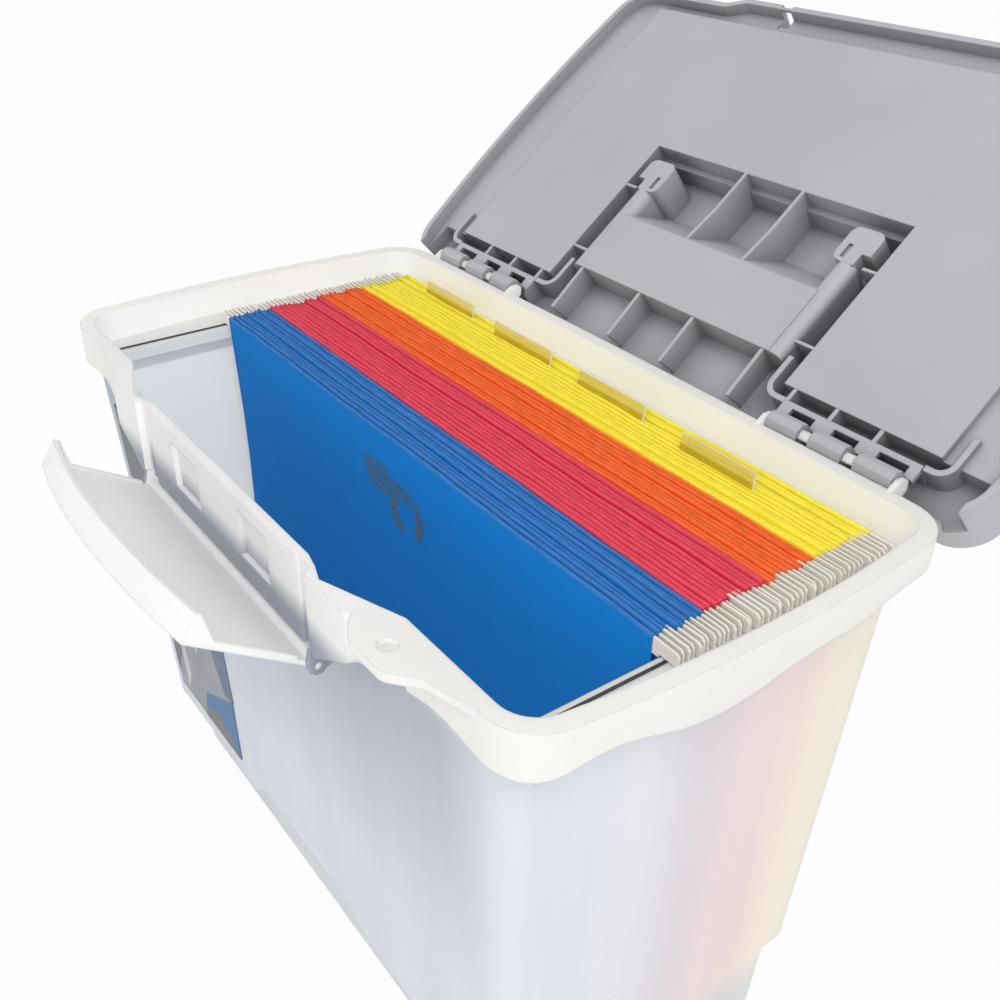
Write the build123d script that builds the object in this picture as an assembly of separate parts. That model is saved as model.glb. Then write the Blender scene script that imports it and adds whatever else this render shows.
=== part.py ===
from build123d import *

import os
from math import atan, cos, degrees, radians, sin

# Portable letter-size file box, millimetres. Origin: centre of the tub's base, on the resting face.
# +X to the right seen from the front, +Y to the back, +Z up. Modelled with the lid and latch closed,
# then both are turned about their hinge axes to the open rest pose.

# ---- tub -------------------------------------------------------------------
RIM_Z = 255.0                # top of the rim flange
LEDGE_Z = 240.7              # shelf inside the side walls, just under the folder hooks
WALL = 2.3                   # moulded wall thickness
FLOOR = 2.6
RIM_HALF_X = 164.2           # inner edge of the rim, at the corners
RIM_HALF_Y = 85.5
RIM_BOW_X = 6.3              # the side rims bow outward by this much
RIM_BOW_BACK = 3.0
RIM_CORNER = 13.0
FLANGE_W = 6.0               # width of the rim's flat top
FLANGE_T = 2.6
SKIRT_T = 2.0                # down-turned edge of the flange
SIDE_HALF_X = 157.0          # inner face of the side walls at the ledge
SIDE_SLOPE = 0.030           # the sides lean in by this much per mm down
END_HALF_Y = 85.3            # inner face of the front and back walls at the ledge
END_SLOPE = 0.055            # these lean in by this much per mm down
WALL_CORNER = 8.0            # inside radius of the upright corners
FOOT_Z = 44.0                # height of the stacking step in the front and back walls
FOOT_INSET = 11.0
FOOT_CHAMFER = 3.0
SCOOP_HALF_X = (40.0, 53.0)  # finger scoop in the front edge of the step, narrow at its top
SCOOP_H = 10.0

# ---- front of the rim: latch recess, shoulders and ears ---------------------
RECESS_HALF_X = 66.0         # the latch lies between the shoulders
RECESS_IN_Y = -93.1          # inner face of the wall behind the latch
RECESS_OUT_Y = -97.3
SHOULDER_X = (70.4, 95.0)
SHOULDER_Y = -99.2
APRON_BOTTOM = 221.6         # lower edge of the deep part of the skirt
APRON_EDGE = ((107.5, 238.0), (96.0, 236.0), (71.5, APRON_BOTTOM))
CORNER_EDGE_Z = 236.8        # lower edge of the skirt at the front corners
SIDE_EDGE = (
    (-92.0, CORNER_EDGE_Z), (-79.0, 238.3), (-60.0, 241.6), (-38.0, 236.8), (-8.0, 236.4), (10.0, 239.4),
    (45.0, 240.4), (66.0, 242.6),
)
EAR_H = 3.6                  # depth of the small skirt round the ear
EAR_HOLE = (115.3, -96.1)
EAR_HOLE_R = 3.25
EAR_RELIEF_R = 5.0           # clearance under the flange, round the ear hole
WINDOW_X = (17.0, 40.0)      # two shallow recesses behind the latch
WINDOW_Z = (231.0, 250.0)
WINDOW_DEPTH = 2.3

# ---- hanging rails ----------------------------------------------------------
RAIL_X = 154.5
RAIL_T = 1.0
RAIL_Z = (235.6, 241.2)
RAIL_Y = (-77.5, 77.2)
CHANNEL_X = 151.8            # inner face of the channel that holds the rail

# ---- lid --------------------------------------------------------------------
HINGE_Y, HINGE_Z = 97.25, 255.9
LID_OPEN = 142.05
HINGE_BAR_R = 2.0
HINGE_GAP = 0.1
HINGE_CELLS = ((82.5, 100.4), (103.2, 121.2), (124.0, 143.5))
DECK_Z = 258.8               # underside of the deck, lid closed
DECK_REAR_Y = 80.45          # rear edge of the deck, lid closed
LIP_Z = 255.4
LID_TOP = 283.5
LID_DRAFT = 1.6              # the lid's outside is this much narrower at its top
LID_SKIN = 2.2
DECK_IN_X, DECK_OUT_X = 75.0, 148.0
MIDDLE_FRONT = 84.0          # far edge of the middle recess
BAND_H = -3.0                # height of the side bands beside the deck
REAR_H = -11.5               # floor of the hinge bay
SKIN_H = -20.0               # underside of the top skin in the middle recess
PAD_H = 2.5                  # finger-well floor, proud of the deck
PAD_HALF_X = 60.0
PAD_L = (8.7, 43.0)
RAMP_L = 60.0
ARM_X = 61.0                 # centre of the handle arms and of the troughs along the pad's sides
ARM_W = 6.0
TROUGH_R = 4.9
TROUGH_H = 2.25              # the troughs stand this far proud of the deck
PIVOT_L, PIVOT_H = 69.0, -10.0
PIVOT_R = 2.6

# ---- handle -----------------------------------------------------------------
GRIP_L = 24.0
GRIP_W, GRIP_T = 17.0, 11.0
HANDLE_HANG = 52.0           # the handle hangs this far out of its well when the lid is open

# ---- organizer covers ---------------------------------------------------------
COVER_T = 2.0
COVER_GAP = 0.5
COVER_PIN_R = 1.6
COVER_BARREL_R = 3.0           # rolled outer edge round the pins
COVER_PIN_X = 163.0
COVER_Y = (-84.0, 76.0)
COVER_IN = (69.0, -4.6)      # the cover is cut away behind this corner, round the handle
COVER_PINS_Y = (-40.0, 50.0)
SOCKET_HALF = 5.0

# ---- latch ------------------------------------------------------------------
LATCH_Y, LATCH_Z = -97.3, 217.6
LATCH_OPEN = 57.0
LATCH_HALF_X = 68.4
LATCH_TIP_HALF_X = 66.0
LATCH_LEN = 48.0             # hinge line to the free edge, at the ends
LATCH_BOW = 8.0              # the free edge bows out by this much in the middle
LATCH_T = 1.9
LATCH_BARREL_R = 2.3
LATCH_HOOK = 9.0
LATCH_END = ((-96.6, 255.2), (-89.0, 263.2))  # the end walls deepen into the hook between these
LATCH_PIN_R = 1.4

# ---- folders ----------------------------------------------------------------
COLOURS = (("blue", 5, -24.5, -2.9), ("red", 6, -2.9, 24.8), ("orange", 5, 24.8, 48.4), ("yellow", 6, 48.4, 77.2))
FOLDER_HALF_X = 149.0
FOLDER_TOP = 247.05
FOLDER_BOTTOM = 9.0
BOTTOM_Y = (-23.0, 43.0)     # the V bottoms of all folders lie between these
CARD = 0.45
ROD_T, ROD_Z = 1.0, (240.0, 246.6)
ROD_HALF_X = 160.3
HOOK_X = 151.0               # the rods step up here, to hook over the rails
HOOK_Z = 241.5
TAB_X = (-103.0, -44.0, 14.0, 72.0)
TAB_W, TAB_H, TAB_T = 50.0, 8.0, 0.5

# ---- front label --------------------------------------------------------------
LABEL_X = (-138.0, -22.0)
LABEL_S = (52.0, 186.0)      # distances down the front wall from the ledge
LABEL_T = 0.4
LABEL_GAP = 0.02

os.makedirs("parts", exist_ok=True)


def block(x0, x1, y0, y1, z0, z1):
    """Box from its lower to its upper corner."""
    return Pos((x0 + x1) / 2, (y0 + y1) / 2, (z0 + z1) / 2) * Box(abs(x1 - x0), abs(y1 - y0), abs(z1 - z0))


def prism_x(points, x0, x1):
    """(y, z) outline extruded from x0 to x1."""
    face = Plane.YZ * make_face(Polyline([*points, points[0]]))
    return Pos(x0, 0, 0) * extrude(face, x1 - x0)


def prism_y(points, y0, y1):
    """(x, z) outline extruded from y0 to y1."""
    face = Plane.XZ * make_face(Polyline([*points, points[0]]))
    return Pos(0, y1, 0) * extrude(face, y1 - y0)


def prism_z(points, z0, z1, radius=0.0):
    """(x, y) outline extruded from z0 to z1, with rounded corners if a radius is given."""
    face = make_face(Polyline([*points, points[0]]))
    if radius:
        face = fillet(face.vertices(), radius)
    return Pos(0, 0, z0) * extrude(face, z1 - z0)


def rod_x(x0, x1, y, z, radius):
    """Round bar along X."""
    return Pos((x0 + x1) / 2, y, z) * Rot(0, 90, 0) * Cylinder(radius, x1 - x0)


def mirrored(shape):
    """The shape and its mirror image across the middle plane X = 0."""
    return shape + mirror(shape, Plane.YZ)


def bowed_plan(half_x, front_y, back_y, corner, bow_x, bow_back):
    """Rounded rectangle whose sides bow outward, and its back too where bow_back isn't zero."""
    mid_y = (front_y + back_y) / 2
    back = ThreePointArc((half_x, back_y), (0, back_y + bow_back), (-half_x, back_y)) if bow_back else Line(
        (half_x, back_y), (-half_x, back_y)
    )
    edges = [
        Line((-half_x, front_y), (half_x, front_y)),
        ThreePointArc((half_x, front_y), (half_x + bow_x, mid_y), (half_x, back_y)),
        back,
        ThreePointArc((-half_x, back_y), (-half_x - bow_x, mid_y), (-half_x, front_y)),
    ]
    face = make_face(edges)
    return fillet(face.vertices(), corner)


# ---- tub ---------------------------------------------------------------------
def frustum(z0, z1, inset, offset):
    """Four tapered walls between two heights, their upright corners rounded, all moved out by offset."""
    x0, x1 = (SIDE_HALF_X + offset - SIDE_SLOPE * (LEDGE_Z - z) for z in (z0, z1))
    y0, y1 = (END_HALF_Y + offset - inset - END_SLOPE * (LEDGE_Z - z) for z in (z0, z1))
    sides = prism_y([(-x0, z0), (x0, z0), (x1, z1), (-x1, z1)], -120, 120)
    body = sides & prism_x([(-y0, z0), (y0, z0), (y1, z1), (-y1, z1)], -200, 200)
    upright = body.edges().filter_by(lambda edge: abs(edge.tangent_at(0.5).Z) > 0.9)
    return fillet(upright, WALL_CORNER + offset)


def scoop(grow, y_back):
    """Finger scoop under the front of the stacking step."""
    low, high = SCOOP_HALF_X[1] + grow, SCOOP_HALF_X[0] + grow
    z0, z1 = FOOT_Z - 1, FOOT_Z + SCOOP_H + grow
    return prism_y([(-low, z0), (low, z0), (high, z1), (-high, z1)], -120, y_back)


def foot_front(offset):
    """Front face of the narrower foot, at the height of the step."""
    return -(END_HALF_Y + offset - FOOT_INSET - END_SLOPE * (LEDGE_Z - FOOT_Z))


def wall_outside():
    """Outside of the tapered tub below the ledge, with its stacking step and finger scoop."""
    foot = frustum(0.0, FOOT_Z, FOOT_INSET, WALL)
    foot = chamfer(foot.faces().sort_by(Axis.Z)[0].edges(), FOOT_CHAMFER)
    upper = frustum(FOOT_Z, LEDGE_Z, 0.0, WALL) - scoop(0.0, foot_front(WALL))
    return upper + foot


def wall_inside():
    """Space inside the walls, from the floor up past the ledge."""
    step = FOOT_Z + FLOOR
    upper = frustum(step, LEDGE_Z + 1.0, 0.0, 0.0) - scoop(WALL, foot_front(0.0))
    return upper + frustum(FLOOR, step + 1.0, FOOT_INSET, 0.0)


def front_bulge(offset):
    """Plan of the part of the rim that steps forward around the latch, moved out by offset."""
    half = [
        (108.5 + 0.6 * offset, -85.4 - offset),
        (76.5 + 0.6 * offset, -97.0 - offset),
        (69.5, -94.6 - offset),
        (62.3, RECESS_IN_Y - offset),
    ]
    left = [(-x, y) for x, y in reversed(half)]
    return [(108.5 + 0.6 * offset, -60.0), *half, *left, (-108.5 - 0.6 * offset, -60.0)]


def rim_plan(offset):
    """Inner plan of the rim, moved out by offset."""
    half_y = RIM_HALF_Y + offset
    return bowed_plan(
        RIM_HALF_X + offset, -half_y, half_y, RIM_CORNER + offset, RIM_BOW_X, RIM_BOW_BACK
    )


def flange_outline(z0, z1):
    """Outer shape of the flange and its skirt between two heights."""
    shape = Pos(0, 0, z0) * extrude(rim_plan(FLANGE_W), z1 - z0)
    half = [
        (132.0, -91.0),
        (97.5, -96.4),
        (SHOULDER_X[1], SHOULDER_Y),
        (SHOULDER_X[0], SHOULDER_Y),
        (SHOULDER_X[0] - 1.5, RECESS_OUT_Y + 1.2),
        (RECESS_HALF_X - 3.0, RECESS_OUT_Y + 1.2),
        (RECESS_HALF_X - 4.2, RECESS_OUT_Y),
    ]
    left = [(-x, y) for x, y in reversed(half)]
    return shape + prism_z([(132.0, -60.0), *half, *left, (-132.0, -60.0)], z0, z1)


def ear():
    """Rounded ear on the right of the front rim: a flat top with its own small skirt."""
    corners = [(153.0, -85.0), (153.0, -91.2), (134.0, -96.2), (124.5, -104.2), (106.5, -104.2), (96.5, -98.4), (96.5, -85.0)]
    plan = make_face(Polyline([*corners, corners[0]]))
    plan = fillet(plan.vertices().group_by(Axis.Y)[0] + plan.vertices().group_by(Axis.Y)[1], 7.0)
    body = Pos(0, 0, RIM_Z - EAR_H) * extrude(plan, EAR_H)
    inside = Pos(0, 0, RIM_Z - EAR_H - 1) * extrude(offset(plan, -SKIRT_T), EAR_H + 1 - FLANGE_T)
    return body - (inside - block(90, 160, -90.5, -80, 200, 260))


def skirt_trim():
    """Everything below the wavy lower edge of the skirt."""
    start, end = SIDE_EDGE[0], SIDE_EDGE[-1]
    wave = Spline(*SIDE_EDGE, tangents=[(1, 0), (1, 0)])
    under = Polyline(end, (130, end[1]), (130, 200), (-130, 200), (-130, start[1]), start)
    return Pos(-200, 0, 0) * extrude(Plane.YZ * make_face([wave, *under.edges()]), 400)


def front_trim(rise, y_back):
    """Everything in front of y_back and below the apron's sweeping lower edge."""
    half = [(180.0, CORNER_EDGE_Z), (168.0, CORNER_EDGE_Z), (138.0, 240.0), *APRON_EDGE, (0.0, APRON_BOTTOM)]
    left = [(-x, z) for x, z in reversed(half[:-1])]
    return Pos(0, 0, rise) * prism_y([*half, *left, (-180.0, 190.0), (180.0, 190.0)], -120.0, y_back)


def latch_lugs():
    """Two ears under the shoulders that carry the latch's stub pins."""
    x0 = LATCH_HALF_X + 0.4
    nose = LATCH_PIN_R + 1.8
    outline = [
        (LATCH_Y - 1.9, APRON_BOTTOM + 3.0), (LATCH_Y - nose, LATCH_Z + 1.4), (LATCH_Y - nose, LATCH_Z - 1.4),
        (LATCH_Y - 1.4, LATCH_Z - nose), (LATCH_Y + 1.4, LATCH_Z - nose), (LATCH_Y + nose, LATCH_Z - 1.4),
        (-90.0, LATCH_Z), (-90.0, APRON_BOTTOM + 3.0),
    ]
    return mirrored(prism_x(outline, x0, x0 + 3.0))


def hinge_lugs():
    """Bar behind the back flange that the lid's clips snap on, held between two plain lugs, on each side."""
    x0, x1 = HINGE_CELLS[0][0], HINGE_CELLS[-1][1]
    nose = HINGE_BAR_R + 0.4
    outline = [
        (90.0, 249.0), (HINGE_Y - nose, 249.0), (HINGE_Y + nose, HINGE_Z - nose), (HINGE_Y + nose, HINGE_Z + 1.0),
        (HINGE_Y + 1.0, HINGE_Z + nose), (HINGE_Y - nose, HINGE_Z + nose), (90.0, HINGE_Z - 0.9),
    ]
    shape = rod_x(x0, x1, HINGE_Y, HINGE_Z, HINGE_BAR_R)
    return mirrored(shape + prism_x(outline, x0 - 1.6, x0 + 0.8) + prism_x(outline, x1 - 0.8, x1 + 1.6))


def hinge_relief():
    """Notches in the back flange, so that the lid's clips can turn."""
    return mirrored(block(HINGE_CELLS[0][0], HINGE_CELLS[-1][1], HINGE_Y - 4.8, 105.0, 250.0, RIM_Z + 1))


def rail_channel():
    """Channel along the side wall, under the ledge, that the steel rail is pressed into."""
    outline = [(CHANNEL_X, LEDGE_Z), (CHANNEL_X, 235.0), (CHANNEL_X + 5.0, 228.0), (162.0, 228.0), (162.0, LEDGE_Z)]
    return mirrored(prism_y(outline, -78.5, 82.0))


def rail_groove():
    return mirrored(
        block(RAIL_X - RAIL_T / 2, RAIL_X + RAIL_T / 2, RAIL_Y[0], RAIL_Y[1], RAIL_Z[0], LEDGE_Z + 1.0)
    )


def tub_shell():
    ledge_z = LEDGE_Z - WALL
    collar = Pos(0, 0, ledge_z) * extrude(rim_plan(2.0), RIM_Z - ledge_z)
    slope = prism_x([(-110, 190), (-110, 236.5), (-82.0, 211.5), (-82.0, 190)], -120, 120)
    bulge = prism_z(front_bulge(2.2), 205.0, RIM_Z) - slope

    band = flange_outline(222.0, RIM_Z) - Pos(0, 0, 200) * extrude(rim_plan(FLANGE_W - SKIRT_T), 80)
    band -= skirt_trim()
    apron = flange_outline(APRON_BOTTOM, RIM_Z) & block(-132, 132, -120, -88.5, 200, 260)
    front = (band - block(-132, 132, -120, -80, 200, 260)) + apron + bulge
    front -= front_trim(0.0, -80.0)
    flange = flange_outline(RIM_Z - FLANGE_T, RIM_Z)

    shell = wall_outside() + collar + front + flange + ear()

    opening = Pos(0, 0, LEDGE_Z) * extrude(rim_plan(0.0), 40)
    hollow = prism_z(front_bulge(0.0), 205.0, RIM_Z + 10) - Pos(0, 0, 2.8) * slope
    hollow -= front_trim(2.8, -END_HALF_Y + 1.0)
    shell -= wall_inside() + opening + hollow
    shell += rail_channel()
    shell -= rail_groove()

    for radius, z in ((EAR_HOLE_R, RIM_Z), (EAR_RELIEF_R, RIM_Z - FLANGE_T - 10)):
        shell -= Pos(EAR_HOLE[0], EAR_HOLE[1], z) * Cylinder(radius, 20)
    for sign in (1, -1):
        x0, x1 = sorted((sign * WINDOW_X[0], sign * WINDOW_X[1]))
        shell -= block(x0, x1, RECESS_OUT_Y - 1, RECESS_OUT_Y + WINDOW_DEPTH, WINDOW_Z[0], WINDOW_Z[1])
    shell -= mirrored(block(62.5, 69.0, -110, -96.2, 215.0, RIM_Z + 1))
    shell -= hinge_relief()
    shell += hinge_lugs()
    shell += latch_lugs()
    shell -= rod_x(-80, 80, LATCH_Y, LATCH_Z, LATCH_PIN_R + HINGE_GAP)
    return shell


def hanging_rail(side):
    x = side * RAIL_X
    return block(x - RAIL_T / 2, x + RAIL_T / 2, RAIL_Y[0], RAIL_Y[1], RAIL_Z[0], RAIL_Z[1])


# ---- lid, in its closed position ------------------------------------------------
def lid_block(x0, x1, l0, l1, h0, h1):
    """Box in lid terms: l runs forward from the deck's rear edge, h down from the deck's underside."""
    return block(x0, x1, DECK_REAR_Y - l1, DECK_REAR_Y - l0, DECK_Z - h1, DECK_Z - h0)


def lid_prism(points, x0, x1):
    """(l, h) outline extruded from x0 to x1."""
    return prism_x([(DECK_REAR_Y - a, DECK_Z - b) for a, b in points], x0, x1)


def lid_outline(offset, z0, z1, draft=0.0):
    """Solid with the lid's outline, moved out by offset and tapering upward by the draft angle."""
    plan = bowed_plan(
        RIM_HALF_X + FLANGE_W + 0.8 + offset, -RIM_HALF_Y - FLANGE_W - 0.5 - offset,
        102.4 + offset, RIM_CORNER + FLANGE_W + offset, RIM_BOW_X, 0,
    )
    right = [(92.0, -96.8 - offset), (106.5, -91.0 - offset), (106.5, -60.0)]
    left = [(-x, y) for x, y in reversed(right)]
    front = make_face(Polyline([*left, *right, left[0]]))
    return Pos(0, 0, z0) * (extrude(plan, z1 - z0, taper=draft) + extrude(front, z1 - z0, taper=draft))


def hinge_clip(x0, x1):
    """One snap clip of the lid: a plate with a slot, ending in a hook round the hinge bar."""
    pivot_l, pivot_h = DECK_REAR_Y - HINGE_Y, DECK_Z - HINGE_Z
    a, b = x0 + 1.4, x1 - 1.4
    turns = [radians(22.5 + 45 * i) for i in range(8)]
    hook = prism_x([(HINGE_Y + 4.45 * cos(t), HINGE_Z + 4.45 * sin(t)) for t in turns], a, b)
    body = hook + lid_block(a, b, pivot_l - 4.2, pivot_l + 4.2, REAR_H, pivot_h)
    body += lid_block(x0 - 1.0, x1 + 1.0, pivot_l + 4.0, -5.6, -2.4, -0.2)
    body += lid_block(x0 - 1.0, x1 + 1.0, -8.0, -5.6, REAR_H, -0.2)
    body -= rod_x(a - 1, b + 1, HINGE_Y, HINGE_Z, HINGE_BAR_R + HINGE_GAP)
    body -= lid_block(a - 1, b + 1, pivot_l - 8, pivot_l, pivot_h - 1.5, pivot_h + 1.5)
    body -= lid_block(a + 1.8, b - 1.8, -11.6, -8.0, -4.0, 3.0)
    return body


def middle_recess():
    """Underside recess round the finger well, behind the deck's front part."""
    return lid_block(-DECK_IN_X, DECK_IN_X, -1.0, MIDDLE_FRONT, SKIN_H, 20)


def finger_well():
    """Outside of the well that the handle folds into: a flat pad with a ramp in front."""
    outline = [
        (PAD_L[0], SKIN_H - 3), (PAD_L[0], PAD_H), (PAD_L[1] - 1.5, PAD_H), (PAD_L[1], PAD_H - 1.5),
        (RAMP_L, SKIN_H), (RAMP_L, SKIN_H - 3),
    ]
    return lid_prism(outline, -PAD_HALF_X, PAD_HALF_X)


def arm_trough():
    """Outside of one trough for a handle arm: round-bottomed, along the lid's depth."""
    mid_l = (PAD_L[0] + 58.0) / 2
    length = 58.0 - PAD_L[0]
    height = TROUGH_R - TROUGH_H
    trough = Pos(ARM_X, DECK_REAR_Y - mid_l, DECK_Z + height) * Rot(90, 0, 0) * Cylinder(TROUGH_R, length)
    return trough + lid_block(ARM_X - TROUGH_R, ARM_X + TROUGH_R, PAD_L[0], 58.0, SKIN_H - 3, -height)


def pivot_housing():
    """Outside of the rounded housing round one handle pivot."""
    outline = [(53.0, 75.5), (53.0, 57.5), (69.2, 57.5), (69.2, 75.5)]
    points = [(x, DECK_REAR_Y - l) for x, l in outline]
    housing = prism_z(points, DECK_Z - 1.9, DECK_Z - SKIN_H + 3, radius=4.0)
    housing -= lid_block(64.8, 70.0, 57.0, 63.5, -11.0, 4.0)
    return housing - lid_block(56.4, 58.6, 59.5, 66.5, 0.6, 4.0)


def lid_ribs():
    """Stiffening ribs of the middle recess and the hinge bay."""
    shape = None
    for x in (-57.0, -17.0, 17.0, 57.0):
        outline = [(PAD_L[0] + 1, PAD_H - 0.3), (-15.5, 0.6), (-13.0, REAR_H), (PAD_L[0] + 1, REAR_H)]
        rib = lid_prism(outline, x - 0.9, x + 0.9)
        shape = rib if shape is None else shape + rib
    for x in (-17.0, 17.0):
        outline = [(PAD_L[1] - 2, PAD_H - 0.5), (62.5, 0.0), (MIDDLE_FRONT + 1, 0.0), (MIDDLE_FRONT + 1, SKIN_H - 1)]
        outline += [(RAMP_L, SKIN_H - 1)]
        shape += lid_prism(outline, x - 0.9, x + 0.9)
    for x in (81.0, 101.8, 122.6):
        outline = [(1.0, -0.2), (-13.0, -0.2), (-16.0, -3.5), (-16.0, REAR_H - 1), (1.0, REAR_H - 1)]
        shape += mirrored(lid_prism(outline, x - 0.9, x + 0.9))
    return shape


def corner_rib():
    """Curved rib that runs round the deck's rear corners at a small distance, one side."""
    gap, thick = 4.8, 2.4
    x0, x1 = DECK_IN_X - gap, DECK_OUT_X + gap
    y0, y1 = DECK_REAR_Y - 12.0, DECK_REAR_Y + gap
    outer = prism_z([(x0 - thick, y0), (x0 - thick, y1 + thick), (x1 + thick, y1 + thick), (x1 + thick, y0)],
                    DECK_Z + 0.4, DECK_Z - REAR_H + 1)
    outer = fillet(outer.edges().filter_by(Axis.Z).group_by(Axis.Y)[-1], gap + thick)
    inner = prism_z([(x0, y0 - 1), (x0, y1), (x1, y1), (x1, y0 - 1)], DECK_Z - 1, DECK_Z - REAR_H + 2)
    inner = fillet(inner.edges().filter_by(Axis.Z).group_by(Axis.Y)[-1], gap)
    return outer - inner - block(80.0, 144.8, DECK_REAR_Y, 100, 250, 280)


def tray_hollow():
    """Inside of one organizer tray, open at the top: beside the handle and across the front."""
    floor = DECK_Z + LID_SKIN
    front, back = COVER_Y[0] + 2.0, COVER_Y[1] - 1.5
    edge = COVER_PIN_X + COVER_BARREL_R + COVER_GAP
    side = block(DECK_IN_X + 2, DECK_OUT_X - 2, front, back, floor, LID_TOP + 5)
    side += block(1.2, DECK_OUT_X - 2, front, COVER_IN[1] - 1.9, floor, LID_TOP + 5)
    side += block(DECK_OUT_X - 3, edge, front, back, DECK_Z - BAND_H + LID_SKIN, LID_TOP + 5)
    return side


def well_hollow():
    """Inside of the finger well and of both arm troughs, open at the top."""
    t = LID_SKIN
    outline = [
        (PAD_L[0] + t, SKIN_H - 9), (PAD_L[0] + t, PAD_H - t), (PAD_L[1] - t, PAD_H - t),
        (RAMP_L - t - 0.6, SKIN_H - 1), (RAMP_L - t - 0.6, SKIN_H - 9),
    ]
    shape = lid_prism(outline, -ARM_X, ARM_X)
    shape += lid_block(-ARM_X - 3.3, ARM_X + 3.3, GRIP_L - 12, GRIP_L + 13, SKIN_H - 9, -3.6)
    trough = lid_block(ARM_X - 3.3, ARM_X + 3.3, GRIP_L - 12, PIVOT_L + 5.5, SKIN_H - 9, -3.6)
    return shape + mirrored(trough)


def hook_notch():
    """Room in the lid's front for the latch's hook, with an arched seat under it."""
    seat = LATCH_Z + LATCH_LEN - LATCH_T - 1.2
    edges = [
        ThreePointArc((-69.5, seat - 0.8), (0, seat + LATCH_BOW), (69.5, seat - 0.8)),
        Line((69.5, seat - 0.8), (69.5, 290)), Line((69.5, 290), (-69.5, 290)), Line((-69.5, 290), (-69.5, seat - 0.8)),
    ]
    face = Plane.XZ * make_face(edges)
    notch = Pos(0, -88.0, 0) * extrude(face, 20)
    (y0, z0), (y1, z1) = LATCH_END
    outline = [(-110.0, LIP_Z - 1), (y0 + 1.0, LIP_Z - 1), (y0 + 1.0, z0), (y1 + 1.0, z1), (y1 + 1.0, 290), (-110.0, 290)]
    return notch + mirrored(prism_x(outline, 63.2, 69.5))


def cover_rod(y0, y1, radius):
    """Round bar on the hinge axis of the right-hand cover."""
    return Pos(COVER_PIN_X, (y0 + y1) / 2, LID_TOP - COVER_BARREL_R) * Rot(90, 0, 0) * Cylinder(radius, y1 - y0)


def cover_sockets():
    """Knuckles on the lid's side wall for one cover's hinge pins."""
    low, high, cut = COVER_PIN_X - COVER_BARREL_R, LID_TOP, 1.6
    outline = [(low, high - 12.0), (low, high - cut), (low + cut, high), (169.0, high), (169.0, high - 12.0)]
    shape = None
    for y in COVER_PINS_Y:
        y0, y1 = y - SOCKET_HALF, y + SOCKET_HALF
        seat = prism_y(outline, y0, y1) - cover_rod(y0 - 1, y1 + 1, COVER_PIN_R + HINGE_GAP)
        shape = seat if shape is None else shape + seat
    return shape


def lid_frame():
    draft = degrees(atan(LID_DRAFT / (LID_TOP - LIP_Z)))
    shape = lid_outline(0.0, LIP_Z, LID_TOP, draft)

    gutter = lid_outline(-2.8, LIP_Z - 1, DECK_Z - BAND_H)
    deck = mirrored(block(DECK_IN_X, DECK_OUT_X, -84.0, DECK_REAR_Y, DECK_Z, DECK_Z + 10))
    deck += block(-DECK_OUT_X, DECK_OUT_X, -84.0, DECK_REAR_Y - MIDDLE_FRONT, DECK_Z, DECK_Z + 10)
    shape -= gutter - deck
    rear_bay = lid_block(-167.0, 167.0, -20.0, 0.0, REAR_H, 10)
    shape -= rear_bay + middle_recess()
    ledge = lid_block(-DECK_IN_X, DECK_IN_X, MIDDLE_FRONT - 3.0, MIDDLE_FRONT + 1, SKIN_H - 1, -9.0)
    sill = lid_block(-DECK_IN_X, DECK_IN_X, -1.5, PAD_L[0] + 1.5, SKIN_H - 1, REAR_H)
    troughs = mirrored(arm_trough() + pivot_housing())
    shape += finger_well() + troughs + lid_ribs() + ledge + sill
    bridge = mirrored(lid_block(64, DECK_IN_X + 1, 18.0, 19.4, -9, -0.3) + lid_block(68, DECK_IN_X + 1, 58.2, 59.6, -9, -0.3))
    shape += bridge + mirrored(corner_rib())
    for x0, x1 in HINGE_CELLS:
        shape += mirrored(hinge_clip(x0, x1))

    shape -= mirrored(tray_hollow()) + well_hollow()
    shape -= block(-190, 190, 99.0, 110.0, LIP_Z - 1, DECK_Z - BAND_H)
    shape -= hook_notch()
    shape -= mirrored(rod_x(ARM_X, ARM_X + 7.6, DECK_REAR_Y - PIVOT_L, DECK_Z - PIVOT_H, PIVOT_R + HINGE_GAP))
    edge = COVER_PIN_X + COVER_BARREL_R + COVER_GAP
    top = block(-edge, edge, COVER_Y[0] - COVER_GAP, COVER_Y[1] + COVER_GAP, LID_TOP - COVER_T - COVER_GAP, LID_TOP + 5)
    shape -= top - block(-68.5, 68.5, COVER_IN[1] + COVER_GAP, 110, 200, 300)
    barrel_room = block(edge - 7.0, edge + 0.2, COVER_Y[0] - COVER_GAP, COVER_Y[1] + COVER_GAP, LID_TOP - 6.5, LID_TOP + 5)
    shape -= mirrored(barrel_room)
    return shape + mirrored(cover_sockets())


def carry_handle():
    """Folded flat in its well: a grip bar with two arms and stub pins."""
    y_grip, z = DECK_REAR_Y - GRIP_L, DECK_Z - PIVOT_H
    y_pivot = DECK_REAR_Y - PIVOT_L
    section = RectangleRounded(GRIP_W, GRIP_T, 4.5)
    grip = Pos(-ARM_X - ARM_W / 2, y_grip, z) * extrude(Plane.YZ * section, 2 * ARM_X + ARM_W)
    arm = block(ARM_X - ARM_W / 2, ARM_X + ARM_W / 2, y_pivot, y_grip, z - 4.2, z + 4.2)
    arm += rod_x(ARM_X - ARM_W / 2, ARM_X + ARM_W / 2, y_pivot, z, 4.2)
    arm += rod_x(ARM_X, ARM_X + 6.6, y_pivot, z, PIVOT_R)
    return grip + mirrored(arm)


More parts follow.
